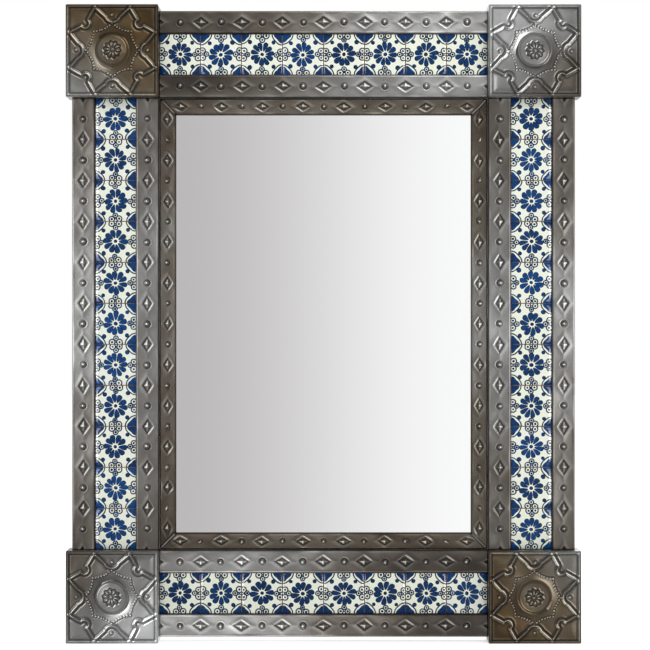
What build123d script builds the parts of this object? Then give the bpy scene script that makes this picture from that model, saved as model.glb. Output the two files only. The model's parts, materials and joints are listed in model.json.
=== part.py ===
from build123d import *
from collections import namedtuple
from math import cos, radians, sin
import os

# Wall mirror in soldered tinplate: four embossed corner boxes, four rails that carry a row of
# painted tiles between two embossed bands, and a lower embossed frame that holds the glass.
# Millimetres. The front faces -Y, X runs to the right and Z runs up. The four corner boxes
# touch the wall in the plane Y = 0, and the origin is the middle of that plane.
# A "level" is a distance forward from the wall, so it lies at Y = -level.

# --- tiles -----------------------------------------------------------------------------------
tile_size = 49.4
tile_thick = 6.0
tile_chamfer = 0.7          # worn edge of the glazed face
tile_joint = 0.6            # open joint from tile to tile
tile_end_gap = 0.4          # last tile to the corner box
tile_side_gap = 0.4         # tile to the band beside it
tiles_across = 8
tiles_down = 11

# --- tinplate --------------------------------------------------------------------------------
sheet = 0.6
bend_radius = 1.6           # outside radius of every fold

# --- corner boxes ----------------------------------------------------------------------------
block_size = 112.5
block_depth = 40.0
rim_width = 4.0             # raised rim round the box's face
rim_rise = 0.8
star_tip_radius = 55.5      # eight tips, each between an upright and a diagonal
star_bay_centre = 44.0      # wide bays on the uprights, gouged round this point
star_bay_radius = 9.3
star_bay_sweep = 72.0       # the gouge turns this far to each side, in degrees
star_notch_centre = 46.5    # narrow notches on the diagonals
star_notch_radius = 5.5
star_notch_sweep = 105.0
gouge_strokes = 4           # chisel strokes in one bay or notch
star_line = 3.4             # width of the raised line that draws the star
star_rise = 1.1
bead_corner_radius = 32.4   # eight corners of the beaded figure inside the star
bead_side_radius = 28.0     # middle of its slightly hollow sides
bead_steps = 6              # beads along each side
bead_size = 2.4
bead_rise = 0.8
boss_radius = 18.3
boss_facets = 20
boss_rise = 3.0
boss_shoulder = 1.8         # width of the boss's sloping edge
boss_crown = 0.6            # how much the middle of the boss is higher than its shoulder
bay_dot_radius = 43.0       # one dot in each wide bay
bay_dot_size = 4.0
bay_dot_rise = 1.0

# --- rails -----------------------------------------------------------------------------------
band_width = 28.0
rail_front = 24.0           # level of the bands' faces
stand_off = 5.0             # level of the rails' back: room for the hanger rings
block_overhang = 0.3        # corner boxes stand this far inside the rails' inner edges
tile_drop = 1.0             # tile face below the bands' faces
bed_thick = 2.0             # adhesive under the tiles
lozenge_length = 20.0
lozenge_width = 12.0
lozenge_rise = 1.7
dot_size = 7.0
dot_rise = 1.3
dot_facets = 6

# --- inner frame, glass and backing ----------------------------------------------------------
frame_width = 20.0
frame_front = 19.0          # level of the inner frame's face
frame_gap = 0.1             # inner frame to the corner boxes
frame_depth = 13.0          # depth of its outer flange
lip_depth = 4.0             # depth of its inner lip, which the glass rests against
frame_lozenge_length = 18.5
frame_lozenge_width = 11.5
frame_dot_size = 6.0
glass_cover = 15.0          # how far the glass runs behind the inner frame
glass_thick = 3.0
board_thick = 3.0
tab_width = 12.0
tab_reach = 14.0            # how far a tab folds over the board
tabs_across = 2
tabs_down = 3

# --- hangers ---------------------------------------------------------------------------------
hanger_inset = 50.1         # rings' middle from the corner boxes
hanger_drop = 42.0          # rings' pivot below the top edge of the rail
wire_radius = 1.0
wire_facets = 6
bow_runs = 8                # short runs round the D's bow
eye_clearance = 0.05        # wire to the rolled eye
ring_half_width = 9.0       # to the middle of the wire
ring_corner = 2.5           # the D's upper corners are cut off this far
ring_side = 4.0             # straight side of the D before its bow
ring_butt = 0.3             # open joint where the wire's ends meet inside the eye
ring_lift = 0.4             # ring above the strap that it hangs down over
strap_thick = 0.8
strap_width = 10.0
strap_length = 22.0
strap_step = 3.0            # length of the strap's step up to its eye

# --- sizes that follow -----------------------------------------------------------------------
tile_pitch = tile_size + tile_joint
clear_across = tiles_across * tile_pitch - tile_joint + 2 * tile_end_gap
clear_down = tiles_down * tile_pitch - tile_joint + 2 * tile_end_gap
channel_width = tile_size + 2 * tile_side_gap
rail_width = 2 * band_width + channel_width
panel_level = block_depth - rim_rise
rail_floor = stand_off + sheet
tile_face = rail_front - tile_drop
bed_top = tile_face - tile_thick
tray_top = bed_top - bed_thick
glass_face = frame_front - lip_depth
board_face = glass_face - glass_thick
board_back = board_face - board_thick
opening_across = clear_across - 2 * frame_gap - 2 * frame_width
opening_down = clear_down - 2 * frame_gap - 2 * frame_width
glass_across = opening_across + 2 * glass_cover
glass_down = opening_down + 2 * glass_cover
ring_level = stand_off - strap_thick - ring_lift - wire_radius
hanger_height = clear_down / 2 + block_overhang + rail_width - hanger_drop

# One rail on each side. reach is the distance from the mirror's middle to the edge of the
# corner boxes, across the rail, and length is the clear run between those boxes.
Rail = namedtuple("Rail", "name along outward reach length tiles tabs")
rails = [
    Rail("top", (1, 0, 0), (0, 0, 1), clear_down / 2, clear_across, tiles_across, tabs_across),
    Rail("bottom", (-1, 0, 0), (0, 0, -1), clear_down / 2, clear_across, tiles_across, tabs_across),
    Rail("left", (0, 0, 1), (-1, 0, 0), clear_across / 2, clear_down, tiles_down, tabs_down),
    Rail("right", (0, 0, -1), (1, 0, 0), clear_across / 2, clear_down, tiles_down, tabs_down),
]
corners = {"tl": (-1, 1), "tr": (1, 1), "bl": (-1, -1), "br": (1, -1)}


def save(piece, name):
    """Label the finished piece and write its STEP file."""
    piece.part.label = name
    export_step(piece.part, f"parts/{name}.step")


# --- planes ----------------------------------------------------------------------------------
def section_plane(rail, shift=0):
    """Across a rail: local X runs outward from the mirror's middle and local Y is the level."""
    middle = Vector(*rail.along) * shift
    return Plane(origin=middle, x_dir=rail.outward, z_dir=rail.along)


def face_plane(rail, level):
    """Parallel to the wall: local X runs along the rail and local Y outward."""
    return Plane(origin=(0, -level, 0), x_dir=rail.along, z_dir=(0, -1, 0))


def block_plane(corner, level):
    """Parallel to the wall, centred on a corner box."""
    side, height = corners[corner]
    across = side * (clear_across + block_size) / 2
    up = height * (clear_down + block_size) / 2
    return Plane(origin=(across, -level, up), x_dir=(1, 0, 0), z_dir=(0, -1, 0))


# --- embossed forms --------------------------------------------------------------------------
def lozenge_boss(length, width, rise):
    """Four-sided point, as a lozenge stamp raises it, with its long diagonal along X."""
    with BuildPart() as boss:
        with BuildSketch() as base:
            Polygon((-length / 2, 0), (0, -width / 2), (length / 2, 0), (0, width / 2), align=None)
        loft(sections=[base.sketch, Vertex(0, 0, rise)], ruled=True)
    return boss.part


def round_boss(size, rise):
    """Faceted point, as a round stamp raises it."""
    with BuildPart() as boss:
        with BuildSketch() as base:
            RegularPolygon(size / 2, dot_facets)
        loft(sections=[base.sketch, Vertex(0, 0, rise)], ruled=True)
    return boss.part


def joints_along(rail):
    """Places along a rail where two tiles meet."""
    return [(n - rail.tiles / 2) * tile_pitch for n in range(1, rail.tiles)]


def middles_along(rail):
    """Places along a rail at the middle of each tile."""
    return [(n + 0.5 - rail.tiles / 2) * tile_pitch for n in range(rail.tiles)]


def emboss(boss, rail, level, line, places):
    """Raise one boss at each place, on a line parallel to the rail."""
    with Locations(face_plane(rail, level)):
        with Locations(*[(place, line) for place in places]):
            add(boss)


# --- folded sections -------------------------------------------------------------------------
def folded_section(plane, path):
    """Section of a folded sheet. The path is its outside face, with the sheet to its right."""
    with BuildSketch(plane) as section:
        with BuildLine():
            FilletPolyline(*path, radius=bend_radius)
            offset(amount=sheet, side=Side.RIGHT)
        make_face()
    return section.sketch


def channel_section(rail, inner, outer, back, front):
    """Channel that opens to the back, between two distances from the mirror's middle."""
    path = [(inner, back), (inner, front), (outer, front), (outer, back)]
    return folded_section(section_plane(rail), path)


# --- corner boxes ----------------------------------------------------------------------------
def polar(radius, angle):
    """Point at an angle counted from the upright, in degrees."""
    return (radius * sin(radians(angle)), radius * cos(radians(angle)))


def turned(point, angle):
    """The point turned clockwise about the origin."""
    x, y = point
    turn = radians(angle)
    return (x * cos(turn) + y * sin(turn), y * cos(turn) - x * sin(turn))


def gouge(centre, radius, sweep):
    """Chisel strokes round the foot of a circle that is centred on the upright."""
    turns = [radians(sweep * (2 * n / gouge_strokes - 1)) for n in range(gouge_strokes + 1)]
    return [(radius * sin(turn), centre - radius * cos(turn)) for turn in turns]


def star_points():
    """Eight-pointed star: wide bays on the uprights and narrow notches on the diagonals."""
    bay = gouge(star_bay_centre, star_bay_radius, star_bay_sweep)
    notch = gouge(star_notch_centre, star_notch_radius, star_notch_sweep)
    points = []
    for quarter in (0, 90, 180, 270):
        points += [turned(point, quarter) for point in bay]
        points.append(polar(star_tip_radius, quarter + 22.5))
        points += [turned(point, quarter + 45) for point in notch]
        points.append(polar(star_tip_radius, quarter + 67.5))
    return [Vector(*point) for point in points]


def mitred(points, distance):
    """Outline that runs at a distance outside a clockwise one, with a corner for each corner."""
    moved = []
    for before, point, after in zip(points[-1:] + points[:-1], points, points[1:] + points[:1]):
        left_in = (point - before).normalized().rotate(Axis.Z, 90)
        left_out = (after - point).normalized().rotate(Axis.Z, 90)
        reach = distance / (1 + left_in.dot(left_out))
        moved.append(point + (left_in + left_out) * reach)
    return moved


def star_ridge():
    """The raised line that follows the star's outline, with a slope to each side of its crest."""
    star = star_points()
    with BuildPart() as ridge:
        with BuildSketch() as outer_foot:
            Polygon(*mitred(star, star_line / 2), align=None)
        with BuildSketch(Plane.XY.offset(star_rise)) as crest:
            Polygon(*star, align=None)
        loft(sections=[outer_foot.sketch, crest.sketch], ruled=True)
        with BuildSketch() as inner_foot:
            Polygon(*mitred(star, -star_line / 2), align=None)
        loft(sections=[inner_foot.sketch, crest.sketch], ruled=True, mode=Mode.SUBTRACT)
    return ridge.part


def bead_places():
    """Beads round the figure whose corners lie on the uprights and the diagonals."""
    places = []
    for corner in range(8):
        start = polar(bead_corner_radius, 45 * corner)
        middle = polar(bead_side_radius, 45 * corner + 22.5)
        end = polar(bead_corner_radius, 45 * corner + 45)
        side = ThreePointArc(start, middle, end)
        places += [side @ (n / bead_steps) for n in range(bead_steps)]
    return places


def boss():
    """Round boss in the middle of the box: sloping shoulder and a nearly flat crown."""
    with BuildPart() as disc:
        with BuildSketch() as foot:
            RegularPolygon(boss_radius, boss_facets)
        with BuildSketch(Plane.XY.offset(boss_rise - boss_crown)) as shoulder:
            RegularPolygon(boss_radius - boss_shoulder, boss_facets)
        loft(sections=[foot.sketch, shoulder.sketch], ruled=True)
        loft(sections=[shoulder.sketch, Vertex(0, 0, boss_rise)], ruled=True)
    return disc.part


def corner_block():
    """Folded box with its embossed face, in its own frame: back at Z = 0, face towards +Z."""
    panel_size = block_size - 2 * rim_width
    ridge = star_ridge()
    disc = boss()
    bead = lozenge_boss(bead_size, bead_size, bead_rise)
    dot = round_boss(bay_dot_size, bay_dot_rise)
    with BuildPart() as block:
        with BuildSketch():
            Rectangle(block_size, block_size)
        extrude(amount=block_depth)
        fillet(block.faces().sort_by(Axis.Z)[-1].edges(), bend_radius)
        offset(amount=-sheet, openings=block.faces().sort_by(Axis.Z)[0])
        # the face steps back inside the rim
        with BuildSketch(Plane.XY.offset(panel_level - sheet)):
            Rectangle(panel_size + 2 * sheet, panel_size + 2 * sheet)
        extrude(amount=rim_rise)
        with BuildSketch(Plane.XY.offset(panel_level)):
            Rectangle(panel_size, panel_size)
        extrude(amount=rim_rise, mode=Mode.SUBTRACT)
        # star line, boss, beads and dots
        with Locations((0, 0, panel_level)):
            add(ridge)
            add(disc)
            with Locations(*bead_places()):
                add(bead)
            with PolarLocations(bay_dot_radius, 4):
                add(dot)
    return block.part


def corner_back():
    """Plate let into the back of a corner box, flush with its walls."""
    plate_size = block_size - 2 * sheet
    with BuildPart() as plate:
        with BuildSketch():
            Rectangle(plate_size, plate_size)
        extrude(amount=sheet)
    return plate.part


def make_corners():
    box = corner_block()
    back = corner_back()
    for corner in corners:
        with BuildPart() as block:
            with Locations(block_plane(corner, 0)):
                add(box)
        save(block, f"corner_block_{corner}")
        with BuildPart() as plate:
            with Locations(block_plane(corner, 0)):
                add(back)
        save(plate, f"corner_back_{corner}")


# --- rails -----------------------------------------------------------------------------------
def make_band(rail, name, inner):
    """Embossed band: a lozenge over each tile joint and a dot over each tile's middle."""
    line = inner + band_width / 2
    section = channel_section(rail, inner, inner + band_width, rail_floor, rail_front)
    lozenge = lozenge_boss(lozenge_length, lozenge_width, lozenge_rise)
    dot = round_boss(dot_size, dot_rise)
    with BuildPart() as band:
        extrude(section, amount=rail.length / 2, both=True)
        emboss(lozenge, rail, rail_front, line, joints_along(rail))
        emboss(dot, rail, rail_front, line, middles_along(rail))
    save(band, f"{name}_{rail.name}")


def make_tray(rail, inner):
    """Sharply folded channel: its floor carries the tiles and its legs stand on the back strip."""
    middle = inner + channel_width / 2
    with BuildPart() as tray:
        with BuildSketch(section_plane(rail, -rail.length / 2)):
            with Locations((middle, rail_floor)):
                Rectangle(channel_width, tray_top - rail_floor, align=(Align.CENTER, Align.MIN))
                Rectangle(
                    channel_width - 2 * sheet,
                    tray_top - sheet - rail_floor,
                    align=(Align.CENTER, Align.MIN),
                    mode=Mode.SUBTRACT,
                )
        extrude(amount=rail.length)
    save(tray, f"tile_tray_{rail.name}")


def make_bed(rail, inner):
    """Adhesive under the row of tiles."""
    run = rail.length - 2 * tile_end_gap
    with BuildPart() as bed:
        with BuildSketch(face_plane(rail, tray_top)):
            with Locations((0, inner + channel_width / 2)):
                Rectangle(run, tile_size)
        extrude(amount=bed_thick)
    save(bed, f"tile_bed_{rail.name}")


def make_tiles(rail, inner):
    """Row of tiles, each a solid of its own, with the edges of its glazed face worn."""
    line = inner + channel_width / 2
    with BuildPart() as tiles:
        with BuildSketch(face_plane(rail, bed_top)):
            with Locations(*[(place, line) for place in middles_along(rail)]):
                Rectangle(tile_size, tile_size)
        extrude(amount=tile_thick)
        faces = tiles.faces().group_by(Axis.Y)[0]
        chamfer(faces.edges(), tile_chamfer)
    save(tiles, f"tiles_{rail.name}")


def make_back(rail, inner):
    """Flat strip that closes the rail behind."""
    with BuildPart() as strip:
        with BuildSketch(face_plane(rail, stand_off)):
            with Locations((0, inner + rail_width / 2)):
                Rectangle(rail.length, rail_width)
        extrude(amount=sheet)
    save(strip, f"rail_back_{rail.name}")


def make_rail(rail):
    inner = rail.reach + block_overhang
    channel = inner + band_width
    make_band(rail, "inner_band", inner)
    make_band(rail, "outer_band", channel + channel_width)
    make_tray(rail, channel)
    make_bed(rail, channel)
    make_tiles(rail, channel)
    make_back(rail, inner)


# --- inner frame, glass and backing ----------------------------------------------------------
def mitre_plane(rail, end):
    """Plane through a corner of the inner frame, facing the waste."""
    outward = Vector(*rail.outward)
    along = Vector(*rail.along) * end
    corner = outward * (rail.reach - frame_gap) + along * (rail.length / 2 - frame_gap)
    return Plane(origin=corner, z_dir=along - outward)


def make_inner_frame(rail):
    """Mitred strip: deep flange outside, short lip inside, embossed between them."""
    outer = rail.reach - frame_gap
    inner = outer - frame_width
    path = [(inner, glass_face), (inner, frame_front), (outer, frame_front)]
    path.append((outer, frame_front - frame_depth))
    line = (inner + outer) / 2
    section = folded_section(section_plane(rail), path)
    lozenge = lozenge_boss(frame_lozenge_length, frame_lozenge_width, lozenge_rise)
    dot = round_boss(frame_dot_size, dot_rise)
    with BuildPart() as frame:
        extrude(section, amount=rail.length / 2, both=True)
        for end in (-1, 1):
            split(bisect_by=mitre_plane(rail, end), keep=Keep.BOTTOM)
        emboss(lozenge, rail, frame_front, line, middles_along(rail))
        emboss(dot, rail, frame_front, line, joints_along(rail))
    save(frame, f"inner_frame_{rail.name}")


def make_pane(name, level, thick):
    """Flat pane behind the inner frame, from its face at a level towards the wall."""
    with BuildPart() as pane:
        with BuildSketch(Plane(origin=(0, -level, 0), x_dir=(1, 0, 0), z_dir=(0, 1, 0))):
            Rectangle(glass_across, glass_down)
        extrude(amount=thick)
    save(pane, name)


def make_tabs():
    """Tin tabs soldered to the inner frame's flanges and bent over the backing board."""
    with BuildPart() as tabs:
        for rail in rails:
            flange = rail.reach - frame_gap - sheet
            pitch = rail.length / rail.tabs
            for n in range(rail.tabs):
                place = (n + 0.5 - rail.tabs / 2) * pitch
                with BuildSketch(section_plane(rail, place - tab_width / 2)):
                    with BuildLine():
                        Polyline(
                            (flange, glass_face),
                            (flange, board_back - sheet),
                            (flange - tab_reach, board_back - sheet),
                            (flange - tab_reach, board_back),
                            (flange - sheet, board_back),
                            (flange - sheet, glass_face),
                            close=True,
                        )
                    make_face()
                extrude(amount=tab_width)
    save(tabs, "retainer_tabs")


# --- hangers ---------------------------------------------------------------------------------
def make_strap(name, across):
    """Strap soldered to the top rail's back, with an eye rolled round the ring's bar."""
    foot = -stand_off
    eye_inner = wire_radius + eye_clearance
    eye_outer = eye_inner + strap_thick
    eye_y = -ring_level
    with BuildPart() as strap:
        with BuildSketch(Plane.YZ.offset(across - strap_width / 2)):
            with Locations((foot, hanger_height - strap_step)):
                Rectangle(strap_thick, strap_length - strap_step, align=(Align.MIN, Align.MAX))
            Polygon(
                (foot, hanger_height - strap_step),
                (foot + strap_thick, hanger_height - strap_step),
                (eye_y - eye_inner, hanger_height),
                (eye_y - eye_outer, hanger_height),
                align=None,
            )
            with Locations((eye_y, hanger_height)):
                Circle(eye_outer)
                Circle(eye_inner, mode=Mode.SUBTRACT)
        extrude(amount=strap_width)
    save(strap, name)


def ring_path():
    """Middle line of the D, from the joint in its bar round the bow and back, in short runs."""
    half = ring_half_width
    turns = [radians(180 * n / bow_runs) for n in range(bow_runs + 1)]
    bow = [(half * cos(turn), -ring_side - half * sin(turn)) for turn in turns]
    start = [(ring_butt / 2, 0), (half - ring_corner, 0), (half, -ring_corner)]
    end = [(-across, down) for across, down in reversed(start)]
    return start + bow + end


def make_ring(name, across):
    """D-shaped wire ring, hanging down, its straight bar in the strap's eye."""
    plane = Plane(origin=(across, -ring_level, hanger_height), x_dir=(1, 0, 0), z_dir=(0, -1, 0))
    with BuildPart() as ring:
        with BuildLine(plane) as path:
            Polyline(*ring_path())
        start = path.wires()[0]
        with BuildSketch(Plane(origin=start @ 0, z_dir=start % 0)):
            RegularPolygon(wire_radius, wire_facets)
        sweep(transition=Transition.RIGHT)
    save(ring, name)


def make_hangers():
    for name, side in (("left", -1), ("right", 1)):
        across = side * (clear_across / 2 - hanger_inset)
        make_strap(f"hanger_strap_{name}", across)
        make_ring(f"hanger_ring_{name}", across)


os.makedirs("parts", exist_ok=True)
make_corners()
for rail in rails:
    make_rail(rail)
    make_inner_frame(rail)
make_pane("mirror_glass", glass_face, glass_thick)
make_pane("backing_board", board_face, board_thick)
make_tabs()
make_hangers()
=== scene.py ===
from collections import namedtuple
import json
import math

import bpy
import numpy as np
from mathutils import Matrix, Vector
from mathutils.geometry import delaunay_2d_cdt


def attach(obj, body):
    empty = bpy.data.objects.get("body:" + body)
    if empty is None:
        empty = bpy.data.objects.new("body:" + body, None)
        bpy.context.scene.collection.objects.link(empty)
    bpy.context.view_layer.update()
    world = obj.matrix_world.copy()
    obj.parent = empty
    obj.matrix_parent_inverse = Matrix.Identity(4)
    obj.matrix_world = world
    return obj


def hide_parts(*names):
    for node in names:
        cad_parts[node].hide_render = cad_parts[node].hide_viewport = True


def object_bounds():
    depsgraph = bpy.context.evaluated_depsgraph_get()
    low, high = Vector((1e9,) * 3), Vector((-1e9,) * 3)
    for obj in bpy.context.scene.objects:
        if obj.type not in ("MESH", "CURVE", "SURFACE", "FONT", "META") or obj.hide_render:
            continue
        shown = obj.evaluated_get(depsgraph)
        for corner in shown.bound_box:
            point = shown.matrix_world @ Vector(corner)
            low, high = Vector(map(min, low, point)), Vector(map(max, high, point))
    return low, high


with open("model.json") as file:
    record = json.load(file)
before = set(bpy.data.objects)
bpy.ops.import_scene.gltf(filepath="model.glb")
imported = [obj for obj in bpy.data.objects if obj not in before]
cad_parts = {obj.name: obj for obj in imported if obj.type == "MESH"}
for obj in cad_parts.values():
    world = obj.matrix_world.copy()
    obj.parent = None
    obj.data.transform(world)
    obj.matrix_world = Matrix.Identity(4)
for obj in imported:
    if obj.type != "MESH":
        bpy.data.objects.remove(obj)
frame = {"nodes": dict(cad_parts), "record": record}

# Looks of the tin mirror. Lengths in this script are millimetres in the object's own words: x to
# the right, z up and level forward from the wall. `place` turns them into metres in the CAD frame.
# A rail's pieces are drawn in the rail's words: s runs along it, out is away from the middle.
cad_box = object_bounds()
nodes = frame["nodes"]

# --- sizes, the same as the model's ----------------------------------------------------------
SHEET = 0.6
FOLD = 1.6                # outside radius of every fold
PITCH = 50.0              # from tile to tile
TILES_ACROSS, TILES_DOWN = 8, 11
TILE, TILE_THICK = 49.4, 6.0
PILLOW, PILLOW_DROP = 3.6, 0.42       # how far in and how much a tile's face falls to its edges
BLOCK = 112.5                         # side of a corner box
PANEL, RIM = 39.2, 40.0               # levels of its sunk face and of its rim
CLEAR_X = TILES_ACROSS * PITCH + 0.2  # between the corner boxes
CLEAR_Z = TILES_DOWN * PITCH + 0.2
OVERHANG = 0.3                        # corner boxes stand this far inside the rails' inner edges
BAND, CHANNEL = 28.0, 50.2
RAIL_WIDTH = 2 * BAND + CHANNEL
STAND_OFF = 5.0                       # level of the rails' backs
RAIL_FRONT, RAIL_BACK = 24.0, STAND_OFF + SHEET
BED_TOP = 17.0
FRAME_WIDTH, FRAME_FRONT, FRAME_GAP = 20.0, 19.0, 0.1
GLASS_FACE, BOARD_BACK = 15.0, 9.0
FRAME_BACKS = (GLASS_FACE, 6.0)       # levels at which its inner and outer sides end
TAB_WIDTH, TAB_REACH, TAB_FOLD = 12.0, 14.0, 1.4
WIRE_RADIUS = 1.0
RING_HALF, RING_SIDE, RING_CORNER = 9.0, 4.0, 2.5   # half width, straight side and corner
RING_LEVEL, RING_PIVOT, RING_ACROSS = 2.8, 339.6, 150.0
STRAP_HALF, STRAP_TOP, STRAP_FOOT = 5.0, 336.6, 317.6

# which way a rail runs, which way is out, where it starts from the middle, its length and tiles
Rail = namedtuple("Rail", "along outward reach length tiles")
RAILS = {
    "top": Rail((1, 0), (0, 1), CLEAR_Z / 2, CLEAR_X, TILES_ACROSS),
    "bottom": Rail((-1, 0), (0, -1), CLEAR_Z / 2, CLEAR_X, TILES_ACROSS),
    "left": Rail((0, 1), (-1, 0), CLEAR_X / 2, CLEAR_Z, TILES_DOWN),
    "right": Rail((0, -1), (1, 0), CLEAR_X / 2, CLEAR_Z, TILES_DOWN),
}

# sides, seed, tone (and its rise to the right and upward), tilt of the face, warmth of the patina;
# the differences in tone and warmth between the boxes, and the rise, are painted sheen and shade:
# tr and bl pale and grey as if in the sheen, tl and br dark and brown, each face paler towards its sheen
Box = namedtuple("Box", "side_x side_z seed tone tilt warmth")
BOXES = {
    "tl": Box(-1, 1, 31, (-0.42, -0.30, -0.28), (0.15, -0.15), 1.25),
    "tr": Box(1, 1, 32, (0.07, -0.28, 0.28), (0.35, 0.35), 0.6),
    "bl": Box(-1, -1, 33, (0.10, 0.28, -0.28), (-0.35, -0.35), 0.6),
    "br": Box(1, -1, 34, (-0.38, 0.30, 0.28), (-0.15, 0.1), 1.15),
}


def place(x, z, level):
    """Millimetres to metres in the CAD frame."""
    return np.stack([x, -level, z], axis=-1) * 0.001


def on_rail(rail, s, out):
    """x and z of what lies s along a rail and out from the mirror's middle."""
    along, outward = rail.along, rail.outward
    return along[0] * s + outward[0] * out, along[1] * s + outward[1] * out


def turned(x, z, c, s):
    """x and z turned by the angle with this cosine and sine."""
    return x * c - z * s, x * s + z * c


def smooth(low, high, value):
    """Eased way of the value from low to high, 0 to 1."""
    t = np.clip((value - low) / (high - low), 0, 1)
    return t * t * (3 - 2 * t)


def groove(distance, width):
    """Bell of height 1 that is this wide to each side."""
    return np.exp(-((distance / width) ** 2))


class Waves:
    """Smooth random surface: a sum of sines, about -1 to 1."""

    def __init__(self, seed, length, count=9):
        draw = np.random.default_rng(seed)
        turn = draw.uniform(0, 2 * np.pi, count)
        size = 2 * np.pi / length * draw.uniform(0.55, 1.5, count)
        self.kx, self.ky = size * np.cos(turn), size * np.sin(turn)
        self.phase = draw.uniform(0, 2 * np.pi, count)
        self.share = draw.uniform(0.5, 1, count)
        self.share /= np.sqrt((self.share**2).sum() / 2) * 1.6

    def __call__(self, x, y):
        total = 0
        for kx, ky, phase, share in zip(self.kx, self.ky, self.phase, self.share):
            total = total + share * np.sin(kx * x + ky * y + phase)
        return total


# --- meshes ----------------------------------------------------------------------------------
def mesh_from(name, points, polygons, shade=True):
    """Mesh from points in metres and a list of arrays of equal-sided polygons."""
    mesh = bpy.data.meshes.new(name)
    sizes = np.concatenate([np.full(len(poly), poly.shape[1]) for poly in polygons])
    starts = np.concatenate([[0], np.cumsum(sizes)[:-1]])
    corners = np.concatenate([poly.ravel() for poly in polygons])
    mesh.vertices.add(len(points))
    mesh.vertices.foreach_set("co", points.astype(np.float32).ravel())
    mesh.loops.add(len(corners))
    mesh.loops.foreach_set("vertex_index", corners.astype(np.int32))
    mesh.polygons.add(len(sizes))
    mesh.polygons.foreach_set("loop_start", starts.astype(np.int32))
    mesh.polygons.foreach_set("loop_total", sizes.astype(np.int32))
    mesh.update(calc_edges=True)
    mesh.polygons.foreach_set("use_smooth", np.full(len(sizes), shade))
    return mesh


def wound_outward(points, polygons):
    """Polygons of a closed surface, turned round where the volume of their fans is negative."""
    p = points - points.mean(0)
    volume = 0.0
    for poly in polygons:
        for k in range(1, poly.shape[1] - 1):
            a, b, c = p[poly[:, 0]], p[poly[:, k]], p[poly[:, k + 1]]
            volume += np.einsum("ij,ij->i", a, np.cross(b, c)).sum()
    return [poly[:, ::-1] for poly in polygons] if volume < 0 else polygons


def dress(name, mesh, material, replaces, body="mirror"):
    """Put the mesh into the scene, on its body and in place of the CAD nodes that it replaces."""
    mesh.materials.append(material)
    piece = bpy.data.objects.new(name, mesh)
    bpy.context.scene.collection.objects.link(piece)
    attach(piece, body)
    if replaces:
        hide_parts(*replaces)
    return piece


def closed_piece(name, points, polygons, material, replaces=(), body="mirror", shade=True):
    """A piece with a closed surface."""
    mesh = mesh_from(name, points, wound_outward(points, polygons), shade)
    mesh.validate()
    return dress(name, mesh, material, replaces, body)


def set_values(piece, **layers):
    """Numbers for each vertex, by name, for the material to read."""
    for name, values in layers.items():
        layer = piece.data.attributes.new(name, "FLOAT", "POINT")
        layer.data.foreach_set("value", np.asarray(values, np.float32).ravel())


def grid_quads(rows, columns, first=0, wrap=False):
    """Quads of a grid of points counted row by row."""
    r, c = np.meshgrid(np.arange(rows - 1), np.arange(columns - (not wrap)), indexing="ij")
    here, below = r * columns, (r + 1) * columns
    following = (c + 1) % columns
    quads = np.stack([here + c, here + following, below + following, below + c], -1)
    return quads.reshape(-1, 4) + first


def ring_quads(before, ring):
    """Quads between two rings of as many points."""
    return np.stack([before, ring, np.roll(ring, -1), np.roll(before, -1)], -1)


def tube(rows, columns, first=0):
    """Polygons of a tube of rings, counted ring by ring, with a cap at each end."""
    ring = first + np.arange(columns)
    caps = [ring[None, ::-1], (ring + (rows - 1) * columns)[None, :]]
    return [grid_quads(rows, columns, first, wrap=True)] + caps


def relief_values(height, blur):
    """How far each point of a grid of heights stands above or below its surroundings."""
    soft = height.copy()
    for _ in range(blur):
        padded = np.pad(soft, 1, mode="edge")
        soft = (padded[1:-1, 1:-1] * 2 + padded[:-2, 1:-1] + padded[2:, 1:-1]
                + padded[1:-1, :-2] + padded[1:-1, 2:]) / 6
    return height - soft


def arc_points(centre, radius, start, end, steps):
    """Points of an arc between two angles in degrees."""
    turn = np.radians(np.linspace(start, end, steps + 1))
    return np.stack([centre[0] + radius * np.cos(turn), centre[1] + radius * np.sin(turn)], -1)


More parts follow.
